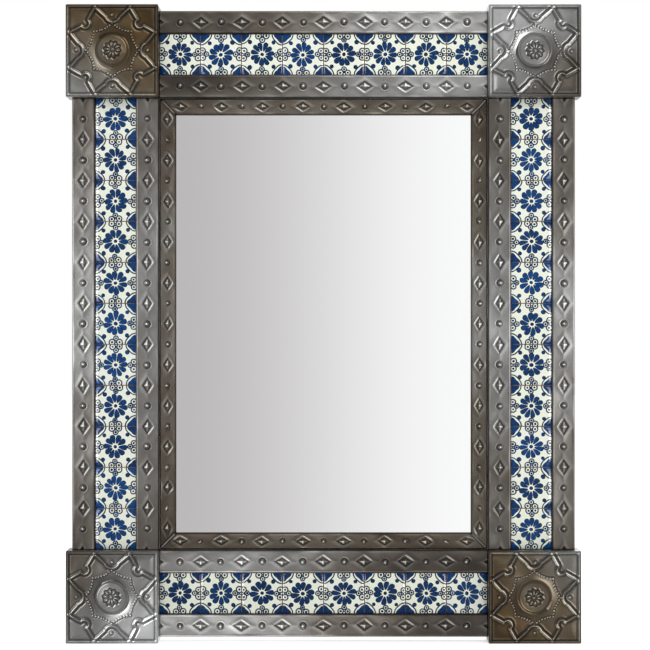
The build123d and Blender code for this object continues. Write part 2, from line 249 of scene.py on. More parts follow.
# --- materials -------------------------------------------------------------------------------
class Nodes:
    """Short way to build a node tree, from an empty one."""

    def __init__(self, owner, output):
        owner.use_nodes = True
        self.tree = owner.node_tree
        self.tree.nodes.clear()
        self.out = self.add(output).inputs["Surface"]

    def add(self, kind, **values):
        node = self.tree.nodes.new(kind)
        for key, value in values.items():
            setattr(node, key, value)
        return node

    def link(self, a, b):
        self.tree.links.new(a, b)

    def feed(self, socket, value):
        """Give a socket a number, a colour or the output of a node."""
        if isinstance(value, bpy.types.NodeSocket):
            self.link(value, socket)
        elif isinstance(value, tuple):
            socket.default_value = (*value, 1)
        else:
            socket.default_value = value

    def set_inputs(self, node, names, numbers):
        for name, number in zip(names, numbers):
            node.inputs[name].default_value = number

    def math(self, kind, a, b=0.0):
        node = self.add("ShaderNodeMath", operation=kind)
        self.feed(node.inputs[0], a)
        self.feed(node.inputs[1], b)
        return node.outputs[0]

    def span(self, value, low, high, to_low=0.0, to_high=1.0, ease="LINEAR"):
        """The value's way from low to high, as a number from to_low to to_high."""
        node = self.add("ShaderNodeMapRange", interpolation_type=ease)
        self.feed(node.inputs["Value"], value)
        self.set_inputs(node, ("From Min", "From Max", "To Min", "To Max"), (low, high, to_low, to_high))
        return node.outputs["Result"]

    def mix(self, share, a, b, blend="MIX"):
        """Colour between a and b."""
        node = self.add("ShaderNodeMix", data_type="RGBA", blend_type=blend)
        self.feed(node.inputs["Factor"], share)
        for socket, value in zip([s for s in node.inputs if s.type == "RGBA"], (a, b)):
            self.feed(socket, value)
        return [s for s in node.outputs if s.type == "RGBA"][0]

    def shade(self, kind, **inputs):
        """Output of a plain shader node with these inputs."""
        node = self.add(kind)
        for name, value in inputs.items():
            self.feed(node.inputs[name], value)
        return node.outputs[0]

    def mix_shaders(self, share, a, b):
        node = self.add("ShaderNodeMixShader")
        for socket, value in zip(node.inputs, (share, a, b)):
            self.link(value, socket)
        return node.outputs[0]


class Finish(Nodes):
    """A material with one principled shader, whose inputs are at hand."""

    def __init__(self, name):
        self.material = bpy.data.materials.new(name)
        super().__init__(self.material, "ShaderNodeOutputMaterial")
        shader = self.add("ShaderNodeBsdfPrincipled")
        self.link(shader.outputs["BSDF"], self.out)
        self.inputs = shader.inputs

    def surface(self, colour, rough, metallic=0.0):
        self.feed(self.inputs["Base Color"], colour)
        self.feed(self.inputs["Roughness"], rough)
        self.inputs["Metallic"].default_value = metallic

    def coords(self, scale=(1, 1, 1)):
        source = self.add("ShaderNodeTexCoord").outputs["Object"]
        if tuple(scale) == (1, 1, 1):
            return source
        mapping = self.add("ShaderNodeMapping")
        mapping.inputs["Scale"].default_value = scale
        self.link(source, mapping.inputs["Vector"])
        return mapping.outputs["Vector"]

    def noise(self, scale, detail, rough, stretch=(1, 1, 1), distort=0.0):
        node = self.add("ShaderNodeTexNoise")
        self.set_inputs(node, ("Scale", "Detail", "Roughness", "Distortion"), (scale, detail, rough, distort))
        self.link(self.coords(stretch), node.inputs["Vector"])
        return node.outputs["Fac"]

    def ramp(self, value, *stops):
        node = self.add("ShaderNodeValToRGB")
        points = node.color_ramp.elements
        points[0].position, points[0].color = stops[0][0], (*stops[0][1], 1)
        points[1].position, points[1].color = stops[-1][0], (*stops[-1][1], 1)
        for position, colour in stops[1:-1]:
            points.new(position).color = (*colour, 1)
        self.feed(node.inputs["Fac"], value)
        return node.outputs["Color"]

    def value(self, name):
        return self.add("ShaderNodeAttribute", attribute_name=name).outputs["Fac"]

    def bump(self, *layers):
        """Bump layers, each a height, a strength and a depth in millimetres."""
        normal = None
        for height, strength, depth in layers:
            node = self.add("ShaderNodeBump")
            self.set_inputs(node, ("Strength", "Distance"), (strength, depth * 0.001))
            self.link(height, node.inputs["Height"])
            if normal is not None:
                self.link(normal, node.inputs["Normal"])
            normal = node.outputs["Normal"]
        self.link(normal, self.inputs["Normal"])


def aged_tin():
    """Tin with a brown to grey patina; worn bright where it stands proud and dirty where it is sunk, and
    darkened the same way by painted shade along the strips' folds.
    """
    m = Finish("aged_tin")
    cloud = m.noise(8.0, 2, 0.5, distort=0.5)
    stain = m.noise(26.0, 3, 0.5, distort=0.4)
    speck = m.noise(380.0, 3, 0.6)
    relief = m.value("relief")
    tone = m.math("ADD", m.span(cloud, 0.3, 0.7, -0.15, 0.15), m.span(stain, 0.3, 0.7, -0.09, 0.09))
    tone = m.math("ADD", tone, m.value("tone"))
    colour = m.ramp(m.span(tone, -0.8, 0.8),
                    (0.0, (0.060, 0.044, 0.028)), (0.12, (0.090, 0.065, 0.040)), (0.3, (0.146, 0.120, 0.088)),
                    (0.55, (0.285, 0.283, 0.270)), (0.8, (0.600, 0.618, 0.606)), (1.0, (0.760, 0.780, 0.770)))
    warm = m.add("ShaderNodeHueSaturation")
    m.link(m.value("warmth"), warm.inputs["Saturation"])
    m.link(colour, warm.inputs["Color"])
    worn = m.span(relief, 0.04, 0.45)
    sunk = m.span(relief, -0.08, -0.36)
    colour = m.mix(m.math("MULTIPLY", worn, 0.29), warm.outputs["Color"], (0.50, 0.53, 0.52))
    # the sunk mask darkens the patina of stamped hollows, and paints shade into the strips' folds
    colour = m.mix(m.math("MULTIPLY", sunk, 0.70), colour, (0.036, 0.031, 0.025))
    colour = m.mix(m.span(speck, 0.4, 0.8, 0.0, 0.05), colour, (0.06, 0.05, 0.04))
    rough = m.math("SUBTRACT", m.span(stain, 0.3, 0.7, 0.27, 0.32), m.math("MULTIPLY", worn, 0.03))
    m.surface(colour, rough, 0.95)
    m.bump((m.noise(30.0, 1, 0.4), 0.22, 0.6))
    return m.material


def plain_tin(name="plain_tin", colour=(0.40, 0.395, 0.38), rough=(0.30, 0.42)):
    """Bare tinplate with its rolling lines and a few rust spots; also wire and solder."""
    m = Finish(name)
    cloud = m.noise(7.0, 3, 0.5, distort=0.3)
    rolled = m.noise(420.0, 2, 0.5, stretch=(1, 1, 0.04))
    spot = m.noise(120.0, 5, 0.7, distort=0.4)
    dark = tuple(c * 0.72 for c in colour)
    mixed = m.mix(m.span(cloud, 0.35, 0.7), colour, dark)
    mixed = m.mix(m.span(rolled, 0.35, 0.75, 0, 0.25), mixed, dark)
    mixed = m.mix(m.span(spot, 0.60, 0.74, 0, 0.55), mixed, (0.11, 0.075, 0.05))
    m.surface(mixed, m.span(cloud, 0.3, 0.7, *rough), 0.92)
    m.bump((m.noise(18.0, 1, 0.4), 0.35, 1.2), (rolled, 0.12, 0.03), (spot, 0.10, 0.05))
    return m.material


def glazed_tile():
    """Glossy glaze over the painted colours, which the mesh carries."""
    m = Finish("glazed_tile")
    paint = m.add("ShaderNodeVertexColor", layer_name="paint").outputs["Color"]
    wash = m.noise(260.0, 4, 0.6)
    pool = m.noise(55.0, 3, 0.5)
    colour = m.mix(m.span(wash, 0.45, 0.8, 0, 0.14), paint, (0.80, 0.66, 0.46), "MULTIPLY")
    colour = m.mix(m.span(pool, 0.5, 0.75, 0, 0.10), colour, (0.75, 0.78, 0.86), "MULTIPLY")
    m.surface(colour, m.span(pool, 0.3, 0.7, 0.07, 0.14))
    m.inputs["Specular IOR Level"].default_value = 0.26
    m.bump((pool, 0.2, 0.4), (wash, 0.12, 0.05))
    return m.material


def mortar():
    m = Finish("mortar")
    grain = m.noise(700.0, 5, 0.65)
    colour = m.ramp(m.noise(40.0, 3, 0.5), (0.3, (0.55, 0.38, 0.30)), (0.7, (0.70, 0.56, 0.48)))
    m.surface(m.mix(m.span(grain, 0.4, 0.7, 0, 0.4), colour, (0.25, 0.16, 0.12)), 0.9)
    m.bump((grain, 0.5, 0.2))
    return m.material


def silvered_glass():
    m = Finish("silvered_glass")
    smudge = m.noise(6.0, 3, 0.5, distort=0.5)
    colour = m.mix(m.span(smudge, 0.4, 0.8, 0, 0.3), (0.955, 0.96, 0.96), (0.945, 0.95, 0.955))
    m.surface(colour, m.span(smudge, 0.3, 0.7, 0.012, 0.03), 1.0)
    return m.material


def hardboard():
    """Hardboard from its rough side: brown fibre pressed with the weave of a wire screen."""
    m = Finish("hardboard")
    fibre = m.noise(900.0, 5, 0.7, stretch=(1, 1, 0.4))
    bands = []
    for axis in ("X", "Z"):
        wave = m.add("ShaderNodeTexWave", wave_type="BANDS", bands_direction=axis)
        m.set_inputs(wave, ("Scale", "Distortion"), (130.0, 0.4))
        m.link(m.coords(), wave.inputs["Vector"])
        bands.append(wave.outputs["Fac"])
    screen = m.math("MULTIPLY", *bands)
    colour = m.ramp(m.noise(9.0, 3, 0.5), (0.3, (0.19, 0.105, 0.052)), (0.7, (0.235, 0.138, 0.074)))
    colour = m.mix(m.span(screen, 0.1, 0.7, 0.45, 0), colour, (0.10, 0.055, 0.028))
    colour = m.mix(m.span(m.noise(40.0, 4, 0.6), 0.5, 0.8, 0, 0.35), colour, (0.13, 0.07, 0.035))
    colour = m.mix(m.span(fibre, 0.45, 0.75, 0, 0.4), colour, (0.09, 0.05, 0.028))
    m.surface(colour, m.span(fibre, 0.3, 0.7, 0.55, 0.75))
    m.bump((screen, 0.6, 0.35), (fibre, 0.4, 0.12))
    return m.material


TIN = aged_tin()
PLAIN = plain_tin()
WIRE = plain_tin("zinc_wire", (0.52, 0.53, 0.55))
SOLDER = plain_tin("solder", (0.50, 0.505, 0.50), (0.24, 0.36))
GLAZE = glazed_tile()

by_slot = {"plain_tin": PLAIN, "aged_tin": TIN, "glazed_tile": GLAZE, "mortar": mortar(),
           "mirror": silvered_glass(), "hardboard": hardboard(), "steel_wire": WIRE}
for entry in frame["record"]["subparts"]:
    mesh = nodes[entry["node"]].data
    mesh.materials.clear()
    mesh.materials.append(by_slot[entry["material_slot"]])


# --- embossed strips -------------------------------------------------------------------------
FINE, COARSE = 0.95, 4.0          # spacing of a strip's points near its forms and away from them
UNDER = 2.4                       # a strip's inside lies this far behind its face, clear of all grooves
TONE_X, TONE_Z = 306, 381         # about the rails' outer edges

# a form's place along its strip, half length, half width (none for a round dot) and height
Form = namedtuple("Form", "middle half_long half_wide rise")
# a strip's inner edge, length, width, level, levels of its sides' ends, ends cut at 45 degrees,
# patina, and how much painted shade darkens its inner and outer fold
Strip = namedtuple("Strip", "edge length width front backs mitre tone warmth dirt")


def lozenge_height(form, p, q, draw):
    """Four-pointed star with creased arms, in a sunk lozenge; p runs along its long diagonal."""
    lean = draw.uniform(-0.06, 0.06)
    p, q = p + draw.uniform(-0.5, 0.5), q + draw.uniform(-0.4, 0.4)
    p, q = p - lean * q, q + lean * p
    long, wide = form.half_long * draw.uniform(0.95, 1.05), form.half_wide * draw.uniform(0.95, 1.06)
    sink, swell = 0.57 * draw.uniform(0.85, 1.15), 0.28 * draw.uniform(0.85, 1.2)
    # soft absolute values keep the creases a little round
    a, b = np.sqrt(p**2 + 0.04) / long, np.sqrt(q**2 + 0.04) / wide
    outline = a + b
    wall = np.clip((outline - 0.74) / 0.30, 0, 1)
    beyond = np.maximum(outline - 1.04, 0)
    bowl = (sink + swell) * wall - sink - swell * (1 - groove(beyond, 0.55))
    arm, arm_wide = a / 0.93, b / 0.80
    star = np.maximum(1 - arm - 1.55 * arm_wide, 1 - arm_wide - 1.55 * arm)
    return np.maximum(bowl, -sink + (form.rise + sink) * np.clip(star, 0, 1) * (outline < 1))


def dot_height(form, p, q, draw):
    """Round stud with a struck ring round it."""
    p, q = p + draw.uniform(-0.6, 0.6), q + draw.uniform(-0.5, 0.5)
    radius = form.half_long * draw.uniform(0.92, 1.08)
    r = np.hypot(p, q) / radius
    dome = form.rise * np.clip(1 - r**2, 0, 1) ** 0.75
    ring = 0.32 * draw.uniform(0.7, 1.2) * groove(r - 1.08, 0.20)
    return dome - ring + 0.10 * groove(r - 1.5, 0.40)


def painted_light_tone(x, z):
    """Painted sheen and shade in the rails' tone: the top one pales to the right, the bottom one to the left,
    and the side ones towards their middles.
    """
    across, up = x / TONE_X, z / TONE_Z
    rails = 1.2 * across * (1 - across**2) * np.sign(up) * smooth(0.70, 0.76, np.abs(up))
    return rails + 0.50 * np.abs(across) * (0.60 - 1.6 * np.minimum(np.abs(up), 0.85))


def strip_stations(length, forms):
    """Stations along a strip, close together near its embossed forms."""
    stations = [-length / 2]
    while stations[-1] < length / 2:
        s = stations[-1]
        near = min(abs(s - form.middle) - form.half_long - 3 for form in forms)
        stations.append(s + (FINE if near < 0 else min(COARSE, max(FINE, near + 0.2))))
    stations = np.array(stations[:-1])
    if length / 2 - stations[-1] < FINE * 0.6:
        stations = stations[:-1]
    return np.append(stations, length / 2)


def fold_loop(width, front, left_back, right_back):
    """Closed section of a folded strip: outer points, how much relief each takes, inner points."""
    left_wall = np.stack([np.zeros(4), np.linspace(left_back, front - FOLD, 4)], -1)
    right_wall = np.stack([np.full(4, width), np.linspace(front - FOLD, right_back, 4)], -1)
    left_fold = arc_points((FOLD, front - FOLD), FOLD, 180, 90, 5)
    right_fold = arc_points((width - FOLD, front - FOLD), FOLD, 90, 0, 5)
    count = int(round((width - 2 * FOLD) / FINE))
    face = np.stack([np.linspace(FOLD, width - FOLD, count + 1), np.full(count + 1, front)], -1)
    outer = np.concatenate([left_wall[:-1], left_fold[:-1], face, right_fold[1:], right_wall[1:]])
    near, far = FOLD * 0.4, FOLD + 1.6
    flat = smooth(near, far, outer[:, 0]) * smooth(width - near, width - far, outer[:, 0])
    inner = np.array([(width - SHEET, right_back), (width - SHEET, front - UNDER),
                      (SHEET, front - UNDER), (SHEET, left_back)])
    return outer, flat, inner


def strip_mesh(name, rail, strip, forms, seed, node):
    """Folded tin strip with its embossing, as a closed shell that stands where its node is."""
    draw = np.random.default_rng(seed)
    width = strip.width
    outer, flat, inner = fold_loop(width, strip.front, *strip.backs)
    stations = strip_stations(strip.length, forms)
    across = np.concatenate([outer[:, 0], inner[:, 0]])
    s = stations[:, None] * np.ones(len(across))
    if strip.mitre:
        s = s * (1 - 2 * (width - across[None, :]) / strip.length)
    a = np.broadcast_to(across, s.shape)
    so, ao = s[:, : len(outer)], a[:, : len(outer)]
    height = np.zeros(so.shape)
    for form in forms:
        rows = np.abs(stations - form.middle) < form.half_long * 1.5 + 4
        form_height = lozenge_height if form.half_wide else dot_height
        height[rows] += form_height(form, so[rows] - form.middle, ao[rows] - width / 2, draw)
    # the sheet is never quite flat between its stamped forms
    sag = Waves(seed + 1, 38)(so, ao * 1.5) * 0.10 - 0.2 - 0.12 * Waves(seed + 2, 120)(so, ao)
    sag = sag + Waves(seed + 4, 15)(so, ao) * 0.015 - 0.1 * np.cos(2 * np.pi * (ao / width - 0.5))
    inner_levels = np.broadcast_to(inner[:, 1], (len(stations), len(inner)))
    level = np.concatenate([outer[:, 1] + flat * (height + sag), inner_levels], 1)
    # its sides stand a little inside their CAD faces
    inset = 0.08 + Waves(seed + 3, 90)(so, so * 0) * 0.06
    out = strip.edge + a
    out[:, : len(outer)] += np.where(ao < 0.01, inset, 0) - np.where(ao > width - 0.01, inset, 0)
    x, z = on_rail(rail, s, out)
    piece = closed_piece(name, place(x, z, level).reshape(-1, 3), tube(*s.shape), TIN, [node])
    stamped = relief_values(flat * height, 14)
    # painted shade: the colour darkens along the strip's inner and outer folds, where the strips meet
    dirt = strip.dirt[0] * smooth(2.0, 0.6, ao) + strip.dirt[1] * smooth(width - 2.0, width - 0.6, ao)
    relief = np.zeros(s.shape)
    relief[:, : len(outer)] = np.where(stamped < 0, 1.9, 1.3) * stamped - dirt
    # the strip's own patina tone, plus painted sheen and shade that vary along the rails
    set_values(piece, relief=relief, tone=strip.tone + painted_light_tone(x, z), warmth=np.full(s.shape, strip.warmth))
    return piece


# --- corner boxes ----------------------------------------------------------------------------
GRID = 172     # points along each side of a box's face
Gouge = namedtuple("Gouge", "distance radius sweep strokes")
BAY = Gouge(44.0, 9.3, 70, 8)         # wide bays on the uprights
NOTCH = Gouge(46.5, 5.5, 100, 7)      # narrow notches on the diagonals
STAR_TIP = 56.3
BAY_LINE, NOTCH_LINE, TIP_LINE = (2.3, 1.0), (2.05, 0.95), (2.35, 1.05)   # half width and height
BEAD_CORNER, BEAD_SIDE, BEADS = 32.2, 27.6, 7      # radius at the corners, at mid-side, and count
BEAD_RADIUS, BEAD_RISE = 1.45, 0.8
FLOWER_PETALS, FLOWER_MIDDLE, FLOWER_HALF = 10, 6.6, 3.3   # count, and a petal's middle and half length
STUD_CIRCLE, STUD = 43.0, 2.1
TUCK = 0.78                           # how far a box's upright corner follows its fold outward


def star_strokes(draw):
    """Chisel strokes of the star, each a run of points with its half width and height."""

    def at(radius, angle, jitter=0.35):
        turn = math.radians(angle)
        return (radius * math.sin(turn) + draw.uniform(-jitter, jitter),
                radius * math.cos(turn) + draw.uniform(-jitter, jitter))

    def gouge(form, angle):
        middle = at(form.distance, angle, 0.5)
        turn = math.radians(angle)
        run = []
        for n in range(form.strokes + 1):
            share = math.radians(form.sweep * (2 * n / form.strokes - 1))
            u, v = form.radius * math.sin(share), -form.radius * math.cos(share)
            run.append((middle[0] + u * math.cos(turn) + v * math.sin(turn),
                        middle[1] - u * math.sin(turn) + v * math.cos(turn)))
        return run

    bays = [gouge(BAY, 90 * quarter) for quarter in range(4)]
    notches = [gouge(NOTCH, 90 * quarter + 45) for quarter in range(4)]
    tips = [at(STAR_TIP, 45 * number + 22.5) for number in range(8)]
    strokes = []
    for quarter in range(4):
        near, far = tips[2 * quarter], tips[2 * quarter + 1]
        bay, notch, after = bays[quarter], notches[quarter], bays[(quarter + 1) % 4]
        strokes += [(bay, *BAY_LINE), ([bay[-1], near], *TIP_LINE), ([near, notch[0]], *TIP_LINE),
                    (notch, *NOTCH_LINE), ([notch[-1], far], *TIP_LINE), ([far, after[0]], *TIP_LINE)]
    return strokes


def along_run(x, z, run):
    """Each point's distance from a run of strokes, and how far along the run that is, 0 to 1."""
    best, way = np.full(x.shape, 99.0), np.zeros(x.shape)
    for number, (a, b) in enumerate(zip(run[:-1], run[1:])):
        low = (min(a[0], b[0]) - 6, min(a[1], b[1]) - 6)
        high = (max(a[0], b[0]) + 6, max(a[1], b[1]) + 6)
        near = np.flatnonzero((x > low[0]) & (x < high[0]) & (z > low[1]) & (z < high[1]))
        px, pz = x.flat[near] - a[0], z.flat[near] - a[1]
        dx, dz = b[0] - a[0], b[1] - a[1]
        share = np.clip((px * dx + pz * dz) / (dx * dx + dz * dz), 0, 1)
        distance = np.hypot(px - share * dx, pz - share * dz)
        closer = distance < best.flat[near]
        best.flat[near[closer]] = distance[closer]
        way.flat[near[closer]] = (number + share[closer]) / (len(run) - 1)
    return best, way


def star_relief(x, z, draw):
    """Raised strokes with a fairly flat crest between steep sides, and a trough along them."""
    star, trough = np.zeros_like(x), np.zeros_like(x)
    for run, half, rise in star_strokes(draw):
        half = half * draw.uniform(0.9, 1.12)
        rise = rise * draw.uniform(0.88, 1.1)
        distance, way = along_run(x, z, run)
        # the chisel bites less at both ends of a stroke
        bite = 0.62 + 0.38 * np.sqrt(np.clip(np.sin(np.pi * way), 0, 1))
        share = np.clip((half * (0.5 + 0.5 * bite) + 0.1 - distance) / (half - 0.2), 0, 1)
        star = np.maximum(star, rise * bite * (0.7 * share + 0.3 * smooth(0, 1, share)))
        trough = np.maximum(trough, groove(distance - half - 1.0, 0.9))
    return star - 0.3 * trough * smooth(0.3, 0.0, star)


def punch_beads(height, x, z, draw):
    """Punch the beaded figure into the height: eight corners and slightly hollow sides."""

    def spoke(radius, angle):
        return radius * np.array([math.sin(math.radians(angle)), math.cos(math.radians(angle))])

    for corner in range(8):
        start, end = spoke(BEAD_CORNER, 45 * corner), spoke(BEAD_CORNER, 45 * corner + 45)
        bend = 2 * spoke(BEAD_SIDE, 45 * corner + 22.5) - (start + end) / 2
        for n in range(BEADS):
            t = (n + draw.uniform(-0.08, 0.08)) / BEADS
            cx, cz = (1 - t) ** 2 * start + 2 * t * (1 - t) * bend + t * t * end
            cx, cz = cx + draw.uniform(-0.3, 0.3), cz + draw.uniform(-0.3, 0.3)
            near = (np.abs(x - cx) < 3) & (np.abs(z - cz) < 3)
            r = np.hypot(x[near] - cx, z[near] - cz)
            size = BEAD_RADIUS * draw.uniform(0.85, 1.15)
            bump = BEAD_RISE * draw.uniform(0.8, 1.1) * np.clip(1 - (r / size) ** 2, 0, 1) ** 0.8
            height[near] = np.maximum(height[near], bump) - 0.2 * groove(r - size - 0.4, 0.5)


def boss_relief(x, z, draw):
    """The boss, with a sloping shoulder, a low crown and a moat, and the flower stamped on it."""
    bx, bz = draw.uniform(-0.8, 0.8), draw.uniform(-0.8, 0.8)
    r = np.hypot(x - bx, z - bz)
    turn = np.arctan2(x - bx, z - bz)
    disc = 0.85 * smooth(20.0, 16.8, r) + 1.4 * smooth(18, 0, r)
    moat = 0.70 * groove(r - 20.4, 2.4) + 0.80 * groove(r - 22.5, 4.8)
    boss = disc - moat * smooth(17.6, 20.4, r)
    spin = draw.uniform(0, 2 * np.pi)
    phase = ((turn + spin) / (2 * np.pi) * FLOWER_PETALS) % 1 - 0.5
    aside = phase * 2 * np.pi / FLOWER_PETALS * r
    scallop = 10.6 + 0.8 * np.cos(2 * np.pi * phase)
    sunk = 0.75 * smooth(scallop + 0.7, scallop - 0.5, r)
    along = (r - FLOWER_MIDDLE) / FLOWER_HALF
    petal = 1.15 * np.clip(1 - along**2 - (aside / (0.75 + 0.1 * r)) ** 2, 0, 1) ** 0.7
    centre = 1.1 * np.clip(1 - (r / 1.7) ** 2, 0, 1) ** 0.7
    return boss, np.maximum(petal, centre) - sunk


def box_relief(x, z, seed):
    """Chased relief of a corner box's face over x and z from its middle, and its boss."""
    draw = np.random.default_rng(seed)
    height = star_relief(x, z, draw)
    punch_beads(height, x, z, draw)
    boss, flower = boss_relief(x, z, draw)
    height += flower
    for side in range(4):
        turn = math.radians(90 * side)
        cx = STUD_CIRCLE * math.sin(turn) + draw.uniform(-1, 1)
        cz = STUD_CIRCLE * math.cos(turn) + draw.uniform(-1, 1)
        r = np.hypot(x - cx, z - cz)
        height += np.clip(1 - (r / STUD) ** 2, 0, 1) ** 0.6 - 0.3 * groove(r - STUD - 0.6, 0.6)
    return height, boss


def wall_rings(x, z, level, half, seed):
    """Rings from the border of a box's face round its fold, down its walls and up inside them."""
    nx = np.where(np.abs(x) >= half - 1e-6, np.sign(x), 0)
    nz = np.where(np.abs(z) >= half - 1e-6, np.sign(z), 0)
    tuck = np.where((nx != 0) & (nz != 0), TUCK, 1.0)
    wobble = (Waves(seed, 60)(x, z) * 0.12).clip(0, 1)
    steps = []
    for angle in (18, 36, 54, 72, 90):
        t = math.radians(angle)
        steps.append((FOLD * math.sin(t) * tuck, level - FOLD * (1 - math.cos(t))))
    for share in (0.3, 0.65, 1.0):
        out = FOLD * tuck - wobble * math.sin(math.pi * share)
        steps.append((out, np.full(x.shape, (RIM - FOLD) * (1 - share))))
    for inside_level in (0.0, PANEL - FOLD):
        steps.append(((FOLD - SHEET) * tuck, np.full(x.shape, inside_level)))
    return [(x + nx * out, z + nz * out, down) for out, down in steps]


def box_mesh(corner, box):
    """Folded corner box with its chased face, open behind."""
    cx, cz = box.side_x * (CLEAR_X + BLOCK) / 2, box.side_z * (CLEAR_Z + BLOCK) / 2
    half = BLOCK / 2 - FOLD
    line = np.linspace(-half, half, GRID)
    x, z = np.meshgrid(line, line, indexing="ij")
    inward = BLOCK / 2 - np.maximum(np.abs(x), np.abs(z))      # distance from the box's edge
    chased, boss = box_relief(x, z, box.seed)
    rim = 0.8 * (1 - smooth(3.1, 4.3, inward)) - 0.3 * groove(inward - 4.9, 0.8)
    # the sheet is dished by hand, and the star's tips run out onto the rim
    dish = Waves(box.seed + 5, 48)(x, z) * 0.3 + Waves(box.seed + 6, 22)(x, z) * 0.09
    dish += box.tilt[0] * x / 52 + box.tilt[1] * z / 52
    dish = np.minimum(dish - 0.2, 0.35) * smooth(3.5, 12, inward)
    level = PANEL + (rim + chased * smooth(0.8, 2.2, inward) + boss + dish)
    points = [place(cx + x, cz + z, level).reshape(-1, 3)]
    polygons = [grid_quads(GRID, GRID)]
    # border of the grid, counted round
    index = np.arange(GRID * GRID).reshape(GRID, GRID)
    before = np.concatenate([index[:-1, 0], index[-1, :-1], index[:0:-1, -1], index[0, :0:-1]])
    edge_x, edge_z, edge_level = x.ravel()[before], z.ravel()[before], level.ravel()[before]
    used = GRID * GRID
    for rx, rz, ring_level in wall_rings(edge_x, edge_z, edge_level, half, box.seed + 7):
        points.append(place(cx + rx, cz + rz, ring_level))
        ring = used + np.arange(len(before))
        polygons.append(ring_quads(before, ring))
        before = ring
        used += len(ring)
    polygons.append(before[None, :])
    points = np.concatenate(points)
    piece = closed_piece(f"tin_block_{corner}", points, polygons, TIN, [f"corner_block_{corner}"])
    relief = np.zeros(used)
    relief[: GRID * GRID] = relief_values(rim + chased, 30).ravel()
    px, pz = points[:, [0, 2]].T * 1000
    # painted sheen and shade: the tone rises across the face towards the side where the sheen shows
    rise = (box.tone[1] * (px - cx) + box.tone[2] * (pz - cz)) / (BLOCK / 2)
    set_values(piece, relief=relief, tone=box.tone[0] + rise, warmth=np.full(used, box.warmth))


# --- tiles -----------------------------------------------------------------------------------
CREAM, NAVY, BLUE, LINE, CLAY = range(5)
# the colours of the paints above, in that order
PAINT = np.array([
    (0.87, 0.90, 0.77),
    (0.001, 0.016, 0.074),
    (0.001, 0.044, 0.165),
    (0.001, 0.034, 0.098),
    (0.62, 0.42, 0.34),
])
EDGE = 24.9                           # the painting runs just past the tile's edge
LOBES, BEYOND = 25.2, 27.5            # middle of a corner flower, and what lies outside the tile
# a corner flower's outlines: how far out, how deep the dent between its lobes, and the paint
CORNER_RINGS = ((15.1, 0.15, LINE), (13.4, 0.15, CREAM), (12.4, 0.25, NAVY), (11.6, 0.26, BLUE))
# a side rosette's dots: along the side, in from it, and radius
ROSETTE = ((-4.4, 2.7, 4.1), (4.4, 2.7, 4.1), (0.0, 7.2, 3.5))
# where a daisy's petals start and end, and what their widths add up to
DAISY_INNER, DAISY_OUTER, DAISY_ROUND = 4.1, 15.0, 35.8
SHORT_RAIL_INK, LONG_RAIL_INK = 0.74, 0.94   # the short rails are painted in a darker blue
# how far each ring of a tile's side stands out and lies below its face, and how steep it looks
ROUNDING = ((0.28, 0.10, 0.5), (0.52, 0.26, 1.0), (0.68, 0.52, 2.2), (0.75, 1.0, 9), (0.75, 9, 99))


def circle(cx, cz, radius, steps, wob=0.0, draw=None):
    turn = np.linspace(0, 2 * np.pi, steps, endpoint=False)
    r = radius * (1 + (draw.uniform(-wob, wob, steps) if draw is not None else 0))
    return np.stack([cx + r * np.cos(turn), cz + r * np.sin(turn)], -1)


def blot(cx, cz, radius, share, steps):
    """Navy dot with a blue middle, which takes up a share of it."""
    return [(circle(cx, cz, radius, steps[0]), NAVY), (circle(cx, cz, radius * share, steps[1]), BLUE)]


def petal(angle, inner, outer, width, bend, inset=0.0):
    """Teardrop outline that points away from the tile's middle."""
    width, outer, inner = width - inset, outer - inset, inner + inset * 1.4
    shoulder = outer - 0.95 * width
    flank = [(inner + share * (shoulder - inner), half * width)
             for share, half in ((0, 0.22), (0.3, 0.56), (0.65, 0.85), (1, 1))]
    left = [(r, -half) for r, half in flank]
    cap = [(shoulder + 0.95 * width * math.sin(t), -width * math.cos(t))
           for t in np.linspace(0, math.pi, 9)[1:-1]]
    shape = np.array(left + cap + flank[::-1])
    shape[:, 1] += bend * ((shape[:, 0] - inner) / 10) ** 2
    return np.stack(turned(shape[:, 0], shape[:, 1], math.cos(angle), math.sin(angle)), -1)


def corner_flowers(draw):
    """Quarter flower in each corner, with two round lobes and a dot before the dent between them."""
    shapes = []
    turn = np.radians(np.linspace(-4, 94, 25))
    dent = np.sin(2 * turn) ** 2
    fall = 0.11 * (np.cos(turn) ** 12 + np.sin(turn) ** 12)
    for sx, sz in ((-1, -1), (1, -1), (1, 1), (-1, 1)):
        size = draw.uniform(0.92, 1.08)
        for reach, deep, colour in CORNER_RINGS:
            r = reach * (1 - deep * dent - fall) * size
            lobes = np.stack([LOBES - r * np.cos(turn), LOBES - r * np.sin(turn)], -1)
            shape = np.concatenate([lobes, [[EDGE, BEYOND], [BEYOND, BEYOND], [BEYOND, EDGE]]])
            shapes.append((shape * [sx, sz], colour))
        dx = EDGE - 10.4 * size + draw.uniform(-0.5, 0.5)
        dz = EDGE - 10.0 * size + draw.uniform(-0.5, 0.5)
        shapes += blot(sx * dx, sz * dz, 2.7 * draw.uniform(0.88, 1.1), 0.62, (12, 8))
    return shapes


def side_rosettes(draw):
    """Half rosette of three ringed dots at the middle of each side."""
    shapes = []
    for c, s in ((1, 0), (0, 1), (-1, 0), (0, -1)):
        shift = draw.uniform(-0.7, 0.7)
        for t, n, r in ROSETTE:
            r = r * draw.uniform(0.94, 1.06)
            t = t + draw.uniform(-0.3, 0.3)
            n = n + draw.uniform(-0.3, 0.3)
            x, z = turned(EDGE - n, t + shift, c, s)
            shapes.append((circle(x, z, r, 18, 0.02, draw), LINE))
            shapes.append((circle(x, z, r - 1.55, 16, 0.02, draw), CREAM))
            shapes.append((circle(x, z, 1.45 * draw.uniform(0.85, 1.15), 9), NAVY))
        shapes.append((circle(*turned(EDGE - 2.6, shift, c, s), 0.9, 7), NAVY))
    return shapes


